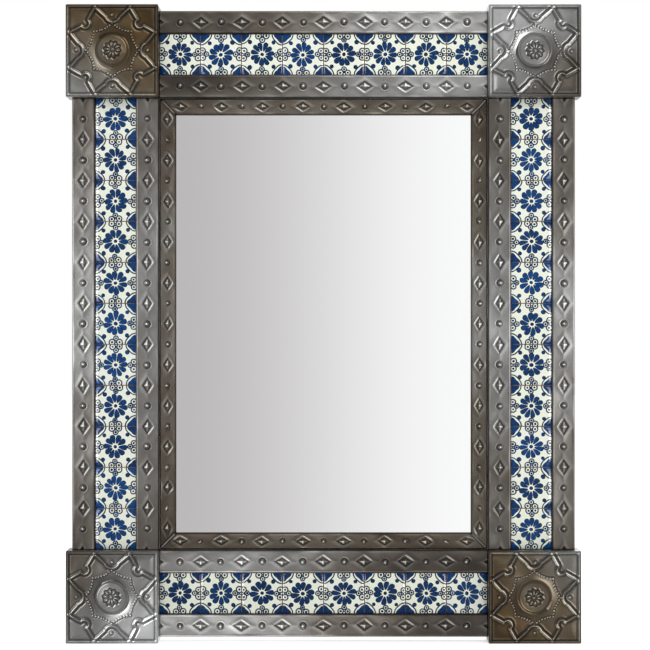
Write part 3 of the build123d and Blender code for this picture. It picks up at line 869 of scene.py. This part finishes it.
def daisy(draw):
    """Daisy of ten or eleven petals round a dot."""
    shapes = []
    petals = int(draw.integers(10, 12))
    spin = draw.uniform(0, 2 * np.pi / petals)
    ox, oz = draw.uniform(-0.5, 0.5, 2)
    lean = draw.uniform(-0.8, 0.8)
    for n in range(petals):
        angle = spin + (n + draw.uniform(-0.03, 0.03)) * 2 * np.pi / petals
        outer = DAISY_OUTER * draw.uniform(0.95, 1.03)
        width = (DAISY_ROUND / petals - 0.15) * draw.uniform(0.96, 1.02)
        bend = lean + draw.uniform(-0.35, 0.35)
        for inset, colour in ((0.0, NAVY), (0.55, BLUE)):
            shapes.append((petal(angle, DAISY_INNER, outer, width, bend, inset) + [ox, oz], colour))
    return shapes + blot(ox, oz, 2.35 * draw.uniform(0.9, 1.08), 0.66, (14, 10))


def inside_shape(shape, x, z):
    """Which of the points lie inside the outline."""
    hit = np.zeros(len(x), bool)
    for (x0, z0), (x1, z1) in zip(shape, np.roll(shape, -1, axis=0)):
        if z0 != z1:
            hit ^= ((z0 > z) != (z1 > z)) & (x < (x1 - x0) * (z - z0) / (z1 - z0) + x0)
    return hit


def painted_face(half, seed):
    """Triangles of a square face, cut along the painted outlines, and the colour of each."""
    draw = np.random.default_rng(seed)
    shapes = corner_flowers(draw) + side_rosettes(draw) + daisy(draw)
    warp = Waves(seed + 11, 30), Waves(seed + 12, 30)
    coords = [Vector(p) for p in ((-half, -half), (half, -half), (half, half), (-half, half))]
    edges = [(0, 1), (1, 2), (2, 3), (3, 0)]
    outlines = []
    for shape, colour in shapes:
        bent = shape + 0.35 * np.stack([wave(shape[:, 0], shape[:, 1]) for wave in warp], -1)
        outlines.append((bent, colour))
        first, count = len(coords), len(bent)
        coords += [Vector(p) for p in bent]
        edges += [(first + n, first + (n + 1) % count) for n in range(count)]
    grain = np.linspace(-half, half, 9)[1:-1]
    coords += [Vector((a, b)) for a in grain for b in grain]
    cut = delaunay_2d_cdt(coords, edges, [], 0, 1e-4, False)
    flat = np.array([tuple(v) for v in cut[0]])
    tris = np.array([f for f in cut[2] if len(f) == 3])
    middle = flat[tris].mean(1)
    keep = (np.abs(middle) < half).all(1)
    tris, middle = tris[keep], middle[keep]
    paint = np.full(len(tris), CREAM)
    for shape, colour in outlines:
        near = ((middle > shape.min(0)) & (middle < shape.max(0))).all(1)
        hit = np.zeros(len(middle), bool)
        hit[near] = inside_shape(shape, middle[near, 0], middle[near, 1])
        paint[hit] = colour
    used, tris = np.unique(tris, return_inverse=True)
    return flat[used], tris.reshape(-1, 3), paint


def face_border(tris, paint):
    """Border of the triangles in order, and the paint along each of its edges."""
    pairs = {}
    for tri, following, colour in zip(tris, np.roll(tris, -1, axis=1), paint):
        for a, b in zip(tri, following):
            pairs[(a, b)] = colour
    follow = {a: b for a, b in pairs if (b, a) not in pairs}
    start = next(iter(follow))
    loop = [start]
    while follow[loop[-1]] != start:
        loop.append(follow[loop[-1]])
    return np.array(loop), np.array([pairs[(a, follow[a])] for a in loop])


Tile = namedtuple("Tile", "points normals tris paint quads back edge_paint")


def tile_mesh(seed):
    """One tile about its middle; its points' third number is their level from its back."""
    half = TILE / 2 - ROUNDING[-1][0]
    flat, tris, paint = painted_face(half, seed)
    loop, edge_paint = face_border(tris, paint)
    # the glaze draws back from the edges, so the painted face is a low pillow
    reach = np.clip((np.abs(flat) - half + PILLOW) / PILLOW, 0, 1)
    drop = PILLOW_DROP * (reach**2).sum(1)
    slope = 2 * PILLOW_DROP / PILLOW * reach * np.sign(flat)
    points = [np.column_stack([flat, TILE_THICK - drop])]
    normals = [np.column_stack([slope, np.ones(len(flat))])]
    side = flat[loop] * (np.abs(flat[loop]) > half - 1e-4)
    quads, before, used = [], loop, len(flat)
    for grow, fall, steep in ROUNDING:
        level = np.maximum(TILE_THICK - drop[loop] - fall, 0)
        points.append(np.column_stack([flat[loop] * ((half + grow) / half), level]))
        normals.append(np.column_stack([side / half * steep, np.ones(len(loop))]))
        ring = used + np.arange(len(loop))
        quads.append(ring_quads(before, ring))
        before = ring
        used += len(loop)
    normals = np.concatenate(normals)
    normals /= np.linalg.norm(normals, axis=1)[:, None]
    return Tile(np.concatenate(points), normals, tris, paint, np.concatenate(quads), before, edge_paint)


def tile_colours(tile, strength, warmth, seed):
    """Colours at the corners of a tile's triangles and of the quads of its sides."""
    shade = Waves(seed, 7)(tile.points[:, 0], tile.points[:, 1])
    tone = PAINT[tile.paint][:, None, :] * np.ones((1, 3, 1))
    vary = 1 + 0.28 * shade[tile.tris]
    blueish = (tile.paint != CREAM)[:, None, None]
    tone = np.where(blueish, tone * (strength * vary)[:, :, None], tone * [1, 1, warmth])
    rim, spot = np.divmod(np.arange(len(tile.quads)), len(tile.edge_paint))
    edge = np.ones((1, 4, 1)) * PAINT[tile.edge_paint[spot]][:, None, :]
    # the glaze thins over the rounding, and below it the clay is bare
    edge[rim == 1] *= [0.80, 0.68, 0.60]
    edge[rim == 2] = edge[rim == 2] * 0.4 + PAINT[CLAY] * 0.45
    edge[rim > 2] = PAINT[CLAY]
    return tone, edge


def tiles_piece(name, rail, seed, ink):
    """One row of painted tiles, each a closed body of its own; less ink is a darker blue."""
    line = rail.reach + OVERHANG + BAND + CHANNEL / 2
    row, used = [], 0
    draw = np.random.default_rng(seed)
    facing = rail.along[0] * rail.outward[1] > rail.along[1] * rail.outward[0]
    order = slice(None) if facing else slice(None, None, -1)
    for n in range(rail.tiles):
        tile = tile_mesh(seed * 100 + n)
        turn = int(draw.integers(4)) * math.pi / 2
        c, s = round(math.cos(turn)), round(math.sin(turn))
        u, v = turned(tile.points[:, 0], tile.points[:, 1], c, s)
        lean_u, lean_v = draw.uniform(-0.0022, 0.0022, 2)
        level = BED_TOP + tile.points[:, 2]
        level = level + (lean_u * u + lean_v * v - 0.07) * (tile.points[:, 2] > 1)
        x, z = on_rail(rail, (n + 0.5 - rail.tiles / 2) * PITCH + u, line + v)
        nu, nv = turned(tile.normals[:, 0], tile.normals[:, 1], c, s)
        nx, nz = on_rail(rail, nu - lean_u, nv - lean_v)
        back = tile.back[::-1] if facing else tile.back
        # the blue comes out a little different on every tile and across each brush stroke
        strength, warmth = ink * draw.uniform(0.75, 1.3), draw.uniform(0.97, 1.03)
        tone, edge = tile_colours(tile, strength, warmth, seed * 100 + n)
        row.append((place(x, z, level), np.stack([nx, -tile.normals[:, 2], nz], -1),
                    tile.tris[:, order] + used, tile.quads[:, order] + used, back[None, :] + used,
                    tone[:, order].reshape(-1, 3), edge.reshape(-1, 3)))
        used += len(tile.points)
    points, normals, tris, quads, backs, tri_paint, quad_paint = zip(*row)
    polygons = [np.concatenate(tris), np.concatenate(quads), *backs]
    mesh = mesh_from(name, np.concatenate(points), polygons)
    normals = np.concatenate(normals)
    normals /= np.linalg.norm(normals, axis=1)[:, None]
    mesh.normals_split_custom_set_from_vertices(normals.tolist())
    bare = np.ones((sum(back.size for back in backs), 3)) * PAINT[CLAY]
    colours = np.concatenate([*tri_paint, *quad_paint, bare])
    opaque = np.column_stack([colours, np.ones(len(colours))]).astype(np.float32)
    layer = mesh.color_attributes.new("paint", "FLOAT_COLOR", "CORNER")
    layer.data.foreach_set("color", opaque.ravel())
    return dress(f"painted_{name}", mesh, GLAZE, [name])


# --- wire, solder and tabs -------------------------------------------------------------------
# a bead's middle line as x and z, its level, half width and half height
Bead = namedtuple("Bead", "path level wide high")
# kinds of solder: level, half width, half height, spacing of points, how far it wanders, lumpiness
Solder = namedtuple("Solder", "level wide high step wander lumps")
AT_TAB = Solder(BOARD_BACK - 1.1, 1.1, 1.2, 0.8, 0.15, 0.12)
AT_STRAP = Solder(STAND_OFF - 0.15, 1.5, 0.75, 0.8, 0.25, 0.14)
IN_MITRE = Solder(FRAME_FRONT - 0.45, 0.95, 0.50, 0.7, 0.12, 0.10)
IN_SEAM = Solder(STAND_OFF - 0.1, 1.9, 0.8, 1.2, 0.3, 0.14)
TACK = Solder(STAND_OFF, 2.1, 0.45, 0.7, 0.2, 0.12)
TACK_PITCH = 95                       # tacks along a rail's back are about this far apart
TACK_IN, TACK_OUT = 3.2, RAIL_WIDTH - 5.0


def bead_mesh(name, beads, material=SOLDER, body="mirror", replaces=(), sides=12,
              lumps=0.0):
    """Beads of wire or solder with round ends."""
    points, polygons, used = [], [], 0
    turn = np.linspace(0, 2 * np.pi, sides, endpoint=False)
    for number, (path, level, wide, high) in enumerate(beads):
        run = np.concatenate([[0], np.cumsum(np.hypot(*np.diff(path, axis=0).T))])
        ahead = np.gradient(path, run, axis=0)
        ahead /= np.hypot(*ahead.T)[:, None]
        to_end = np.minimum(run, run[-1] - run)
        size = np.sqrt(np.clip(1 - (1 - np.minimum(to_end / wide, 1)) ** 2, 0.02, 1))
        if lumps:
            size = size * (1 + lumps * Waves(number + 70, wide * 5)(path[:, 0], path[:, 1]))
        aside = (size * wide)[:, None] * np.cos(turn)
        x = path[:, :1] - ahead[:, 1:] * aside
        z = path[:, 1:] + ahead[:, :1] * aside
        rise = level + (size * high)[:, None] * np.sin(turn)
        points.append(place(x, z, rise).reshape(-1, 3))
        polygons += tube(len(path), sides, used)
        used += len(path) * sides
    return closed_piece(name, np.concatenate(points), polygons, material, replaces, body)


def line_points(start, end, step, wander, seed):
    """Points from start to end that wander a little to each side."""
    start, end = np.array(start, float), np.array(end, float)
    length = np.hypot(*(end - start))
    share = np.linspace(0, 1, max(int(length / step), 6))[:, None]
    across = np.array([start[1] - end[1], end[0] - start[0]]) / length
    shift = wander * Waves(seed, 14)(share[:, 0] * length, share[:, 0] * 0)
    return start + (end - start) * share + across * shift[:, None]


def solder_piece(name, kind, lines):
    """Beads of one kind of solder along lines, each a start, an end and a seed."""
    paths = [line_points(start, end, kind.step, kind.wander, seed) for start, end, seed in lines]
    bead_mesh(name, [Bead(path, kind.level, kind.wide, kind.high) for path in paths], lumps=kind.lumps)


def tab_section():
    """Middle line of a tab, inward and level: down the frame's flange, round a fold, along the board."""
    wall, foot_level = SHEET / 2, BOARD_BACK - SHEET / 2
    leg = np.stack([np.full(4, wall), np.linspace(GLASS_FACE, foot_level + TAB_FOLD, 4)], -1)
    fold = arc_points((wall + TAB_FOLD, foot_level + TAB_FOLD), TAB_FOLD, 180, 270, 6)
    foot = np.stack([np.linspace(wall + TAB_FOLD, TAB_REACH, 9), np.full(9, foot_level)], -1)
    return np.concatenate([leg[:-1], fold, foot[1:]])


def tab_points(rail, out, middle):
    """Points of one tab with a rounded foot, ring by ring along its section."""
    line = tab_section()
    ahead = np.gradient(line, axis=0)
    ahead /= np.hypot(*ahead.T)[:, None]
    normal = np.stack([-ahead[:, 1], ahead[:, 0]], -1) * SHEET / 2
    half = TAB_WIDTH / 2 - np.clip(2.2 - (TAB_REACH - line[:, 0]), 0, None) ** 2 * 0.55
    s = middle + half[:, None] * np.linspace(-1, 1, 5)
    front, back = line + normal, line - normal
    s = np.concatenate([s, s[:, ::-1]], 1)
    inward, level = (np.concatenate([np.broadcast_to(face[:, axis:axis + 1], (len(line), 5))
                                     for face in (front, back)], 1) for axis in (0, 1))
    x, z = on_rail(rail, s, out - inward)
    return place(x, z, level)


def make_tabs():
    """All the bent tabs as one piece, as in the model, and the solder at their feet."""
    points, polygons, lines, used = [], [], [], 0
    for rail in RAILS.values():
        count = 2 if rail.tiles == TILES_ACROSS else 3
        out = rail.reach - FRAME_GAP - SHEET
        for n in range(count):
            middle = (n + 0.5 - count / 2) * rail.length / count
            tab = tab_points(rail, out, middle)
            points.append(tab.reshape(-1, 3))
            polygons += tube(*tab.shape[:2], used)
            used += len(points[-1])
            half = TAB_WIDTH / 2 - 0.8
            ends = [on_rail(rail, middle + side, out - 0.5) for side in (-half, half)]
            lines.append((*ends, int(abs(middle))))
    closed_piece("bent_tabs", np.concatenate(points), polygons, PLAIN, ["retainer_tabs"],
                 shade=False)
    solder_piece("tab_solder", AT_TAB, lines)


def ring_line():
    """Middle line of a hanger ring about its pivot: the bar from its joint, a corner, the bow and back."""
    bar = np.stack([np.linspace(0.15, RING_HALF - RING_CORNER, 8), np.zeros(8)], -1)
    corner = arc_points((RING_HALF - RING_CORNER, -RING_CORNER), RING_CORNER, 90, 0, 6)
    bow = arc_points((0, -RING_SIDE), RING_HALF, 0, -90, 14)
    half = np.concatenate([bar[:-1], corner, bow])
    return np.concatenate([half, half[-2::-1] * [-1, 1]])


def make_hangers():
    """Rings of round wire, and the solder round three sides of their straps."""
    for name, side in (("left", -1), ("right", 1)):
        middle = RING_ACROSS * side
        ring = Bead(ring_line() + [middle, RING_PIVOT], RING_LEVEL, WIRE_RADIUS, WIRE_RADIUS)
        bead_mesh(f"ring_wire_{name}", [ring], WIRE, f"hanger_ring_{name}",
                  [f"hanger_ring_{name}"], 14)
        left, right = middle - STRAP_HALF - 0.2, middle + STRAP_HALF + 0.2
        under = STRAP_FOOT - 0.2
        solder_piece(f"strap_solder_{name}", AT_STRAP,
                     [((left, STRAP_TOP - 4), (left, STRAP_FOOT), 5),
                      ((left - 0.6, under), (right + 0.6, under), 6),
                      ((right, STRAP_FOOT), (right, STRAP_TOP - 6), 7)])


def make_corner_solder():
    """Solder along the frame's mitres, and where the rails' backs meet the corner boxes."""
    frame_x, frame_z = CLEAR_X / 2 - FRAME_GAP, CLEAR_Z / 2 - FRAME_GAP
    wall_x, wall_z = CLEAR_X / 2 - 0.6, CLEAR_Z / 2 - 0.6
    rail_x, rail_z = CLEAR_X / 2 + OVERHANG, CLEAR_Z / 2 + OVERHANG
    for corner, box in BOXES.items():
        sx, sz = box.side_x, box.side_z
        inner, outer = ((sx * (frame_x - back), sz * (frame_z - back)) for back in (FRAME_WIDTH - 1.2, 1.4))
        solder_piece(f"mitre_solder_{corner}", IN_MITRE, [(inner, outer, 9)])
        start, end = FOLD, RAIL_WIDTH - 1.1
        up = [(sx * wall_x, sz * (rail_z + s)) for s in (start, end)]
        across = [(sx * (rail_x + s), sz * wall_z) for s in (start, end)]
        solder_piece(f"seam_solder_{corner}", IN_SEAM, [(*up, 11), (*across, 12)])


def make_tacks():
    """Tacks of solder along both edges of the rails' backs, about a hand apart."""
    lines = []
    draw = np.random.default_rng(90)
    for rail in RAILS.values():
        spots = int(rail.length // TACK_PITCH)
        for edge in (TACK_IN, TACK_OUT):
            for n in range(spots):
                s = (n + 0.5 - spots / 2) * rail.length / spots + draw.uniform(-8, 8)
                size = draw.uniform(2.6, 4)
                ends = [on_rail(rail, t, rail.reach + OVERHANG + edge) for t in (s - size, s + size)]
                lines.append((*ends, n))
    solder_piece("back_tacks", TACK, lines)


# --- pieces ----------------------------------------------------------------------------------
LOZENGE, DOT = (10.3, 6.8, 0.85), (3.3, 0, 1.25)
FRAME_LOZENGE, FRAME_DOT = (9.3, 5.9, 0.86), (2.8, 0, 1.15)


def make_rail(number, side, rail):
    """Two embossed bands, the inner frame's strip and the row of tiles on one side."""
    joints = [(n - rail.tiles / 2) * PITCH for n in range(1, rail.tiles)]
    middles = [(n + 0.5 - rail.tiles / 2) * PITCH for n in range(rail.tiles)]
    hidden = rail.length / 2 + 5.5     # the corner boxes cover all but the tips of the last lozenges
    forms = ([Form(s, *LOZENGE) for s in joints] + [Form(s, *DOT) for s in middles]
             + [Form(s, *LOZENGE) for s in (-hidden, hidden)])
    inner = rail.reach + OVERHANG
    # the last pair of each band is the painted shade in its inner and outer fold
    for which, edge, step, tone, dirt in (("inner", inner, 0, -0.145, (0.5, 0.15)),
                                          ("outer", inner + BAND + CHANNEL, 5, -0.185, (0.25, 0.0))):
        strip = Strip(edge, rail.length, BAND, RAIL_FRONT, (RAIL_BACK, RAIL_BACK), False, tone, 0.5, dirt)
        strip_mesh(f"tin_{which}_band_{side}", rail, strip, forms, 200 + number * 10 + step,
                   f"{which}_band_{side}")
    forms = [Form(s, *FRAME_LOZENGE) for s in middles] + [Form(s, *FRAME_DOT) for s in joints]
    # the frame's folds get painted shade too, darkest beside the inner band
    strip = Strip(rail.reach - FRAME_GAP - FRAME_WIDTH, rail.length - 2 * FRAME_GAP, FRAME_WIDTH, FRAME_FRONT,
                  FRAME_BACKS, True, -0.34, 0.75, (0.2, 0.5))
    strip_mesh(f"tin_inner_frame_{side}", rail, strip, forms, 300 + number * 10, f"inner_frame_{side}")
    ink = SHORT_RAIL_INK if rail.tiles == TILES_ACROSS else LONG_RAIL_INK
    tiles_piece(f"tiles_{side}", rail, 7 + number, ink)


for corner, box in BOXES.items():
    box_mesh(corner, box)
for number, (side, rail) in enumerate(RAILS.items()):
    make_rail(number, side, rail)
make_tabs()
make_hangers()
make_corner_solder()
make_tacks()


# --- camera, floor and world -----------------------------------------------------------------
PHOTO_PIXELS = 650                    # width of the photograph
FOCAL_PIXELS = 2133                   # focal length that fits it
SHIFT_X_PIXELS, SHIFT_Y_PIXELS = 1.5, -1.1
SENSOR = 36.0
CAMERA_AWAY = 2.624                   # metres from the wall
FLOOR_HALF = 9
CARD_SIDES, CARD_ENDS = (0.072, 0.084), (0.100, 0.112)   # the card fades out here, across and up
WHITE = (1.0, 1.0, 1.0)


def add_object(name, data):
    thing = bpy.data.objects.new(name, data)
    bpy.context.scene.collection.objects.link(thing)
    return thing


def make_camera():
    camera = add_object("camera", bpy.data.cameras.new("camera"))
    bpy.context.scene.camera = camera
    camera.location = (0, -CAMERA_AWAY, 0)
    camera.rotation_euler = (math.pi / 2, 0, 0)
    camera.data.sensor_width = SENSOR
    camera.data.lens = FOCAL_PIXELS * SENSOR / PHOTO_PIXELS
    camera.data.shift_x = SHIFT_X_PIXELS / PHOTO_PIXELS
    camera.data.shift_y = SHIFT_Y_PIXELS / PHOTO_PIXELS
    camera.data.clip_start, camera.data.clip_end = 0.05, 50


def make_floor():
    """Pale floor: a little brighter to the camera, and clear for glossy and shadow rays."""
    level = cad_box[0][2]
    corners = [(x * FLOOR_HALF, y * FLOOR_HALF, level) for x, y in ((-1, -1), (1, -1), (1, 1), (-1, 1))]
    floor_mesh = bpy.data.meshes.new("floor")
    floor_mesh.from_pydata(corners, [], [(0, 1, 2, 3)])
    floor = add_object("floor", floor_mesh)
    material = bpy.data.materials.new("floor")
    m = Nodes(material, "ShaderNodeOutputMaterial")
    pale = m.shade("ShaderNodeBsdfDiffuse", Color=(0.88, 0.88, 0.88))
    both = m.add("ShaderNodeAddShader")
    m.link(pale, both.inputs[0])
    m.link(m.shade("ShaderNodeEmission", Color=WHITE, Strength=0.55), both.inputs[1])
    path = m.add("ShaderNodeLightPath").outputs
    seen = m.mix_shaders(path["Is Camera Ray"], pale, both.outputs[0])
    passing = m.math("MAXIMUM", path["Is Glossy Ray"], path["Is Shadow Ray"])
    m.link(m.mix_shaders(passing, seen, m.shade("ShaderNodeBsdfTransparent")), m.out)
    floor_mesh.materials.append(material)


def make_world():
    """White to the camera, plain light on the object, and a studio for metal and glass to mirror."""
    world = bpy.data.worlds.new("studio")
    bpy.context.scene.world = world
    w = Nodes(world, "ShaderNodeOutputWorld")

    def eased(value, low, high, to_low=0, to_high=1):
        return w.span(value, low, high, to_low, to_high, "SMOOTHSTEP")

    apart = w.add("ShaderNodeSeparateXYZ")
    w.link(w.add("ShaderNodeTexCoord").outputs["Generated"], apart.inputs[0])
    right, ahead, up = apart.outputs
    # the mirror shows a card behind the camera, which pales from left to right
    card_colour = w.mix(eased(right, -0.072, 0.078), (0.525, 0.502, 0.507), WHITE)
    card_across = eased(w.math("ABSOLUTE", right), *CARD_SIDES, 1, 0)
    card_up = eased(w.math("ABSOLUTE", up), *CARD_ENDS, 1, 0)
    card = w.math("MULTIPLY", w.math("MULTIPLY", card_across, card_up), eased(ahead, -0.5, -0.9))
    # round it a dim studio, white beyond; its bounds lie 20, 38, 62 and 85 degrees off the axis
    dim = w.mix(eased(ahead, -0.94, -0.79), (0.48, 0.475, 0.475), (0.15, 0.15, 0.15))
    beyond = w.mix(eased(ahead, -0.47, -0.09), dim, (0.95, 0.95, 0.96))
    path = w.add("ShaderNodeLightPath").outputs
    mirrored = w.shade("ShaderNodeBackground", Color=w.mix(card, beyond, card_colour))
    plain = w.shade("ShaderNodeBackground", Color=(0.97, 0.98, 1.0), Strength=0.78)
    reflected = w.math("MAXIMUM", path["Is Glossy Ray"], path["Is Transmission Ray"])
    unseen = w.mix_shaders(reflected, plain, mirrored)
    white = w.shade("ShaderNodeBackground", Color=WHITE, Strength=1.0)
    w.link(w.mix_shaders(path["Is Camera Ray"], unseen, white), w.out)


# --- lamps -----------------------------------------------------------------------------------
def area_light(name, spot, aim, size, radiance, beam=180, metal_only=False):
    """Rectangular lamp; radiance is what it shows along its axis and beam its full spread."""
    wide, high = size
    lamp = bpy.data.lights.new(name, "AREA")
    lamp.shape = "RECTANGLE"
    lamp.size, lamp.size_y = wide, high
    lamp.spread = math.radians(beam)
    half = math.radians(beam / 2)
    focus = 1 if beam == 180 else (math.tan(half) - half) / math.tan(half)
    lamp.energy = radiance * math.pi * wide * high * focus
    lamp_object = add_object(name, lamp)
    lamp_object.location = spot
    lamp_object.rotation_euler = (Vector(aim) - Vector(spot)).to_track_quat("-Z", "Y").to_euler()
    lamp_object.visible_camera = False
    lamp_object.visible_diffuse = not metal_only
    return lamp_object


def only_on(lamp_object, names):
    """Let the lamp light only these pieces."""
    group = bpy.data.collections.new(f"{lamp_object.name}_lights")
    for piece_name in names:
        group.objects.link(bpy.data.objects[piece_name])
    lamp_object.light_linking.receiver_collection = group


# the corner box that each side's softbox shares, the softbox's place, its aim and its size
SOFTBOXES = {
    "top": ("tl", (0.10, -0.85, 0.86), (-0.15, 0, 0.33), (0.8, 0.7)),
    "right": ("tr", (0.79, -0.85, -0.02), (0.256, 0, 0.15), (0.7, 0.8)),
    "bottom": ("br", (-0.10, -0.85, -0.86), (0.15, 0, -0.33), (0.8, 0.7)),
    "left": ("bl", (-0.79, -0.85, 0.02), (-0.256, 0, -0.15), (0.7, 0.8)),
}
SOFTBOX = (6.0, 66)                   # radiance and beam
GLAZE_STRIP = ((0.62, 1.2), 24.0, 40)   # size, radiance and beam


def make_lamps():
    """Plain lamps, a softbox for the metal of each side, and two tall strips that glaze the tiles."""
    area_light("key", (0.7, -1.6, 1.5), (0, 0, 0), (0.7, 0.7), 8.0).visible_glossy = False
    area_light("back", (0.8, 2.4, 1.6), (0, 0, 0), (1.4, 1.4), 5.0)
    for side, (corner, spot, aim, size) in SOFTBOXES.items():
        softbox = area_light(f"{side}_softbox", spot, aim, size, *SOFTBOX, True)
        only_on(softbox, [f"tin_block_{corner}", f"tin_inner_band_{side}", f"tin_outer_band_{side}",
                          f"tin_inner_frame_{side}"])
    for name, turn in (("right", 1), ("left", -1)):
        spot, aim = (1.035 * turn, -1.84, 0), (0.2535 * turn, 0, 0)
        strip = area_light(f"{name}_strip", spot, aim, *GLAZE_STRIP, True)
        only_on(strip, [f"painted_tiles_{side}" for side in RAILS])


make_camera()
make_floor()
make_world()
make_lamps()

scene = bpy.context.scene
scene.view_settings.view_transform = "Standard"

bpy.context.view_layer.update()
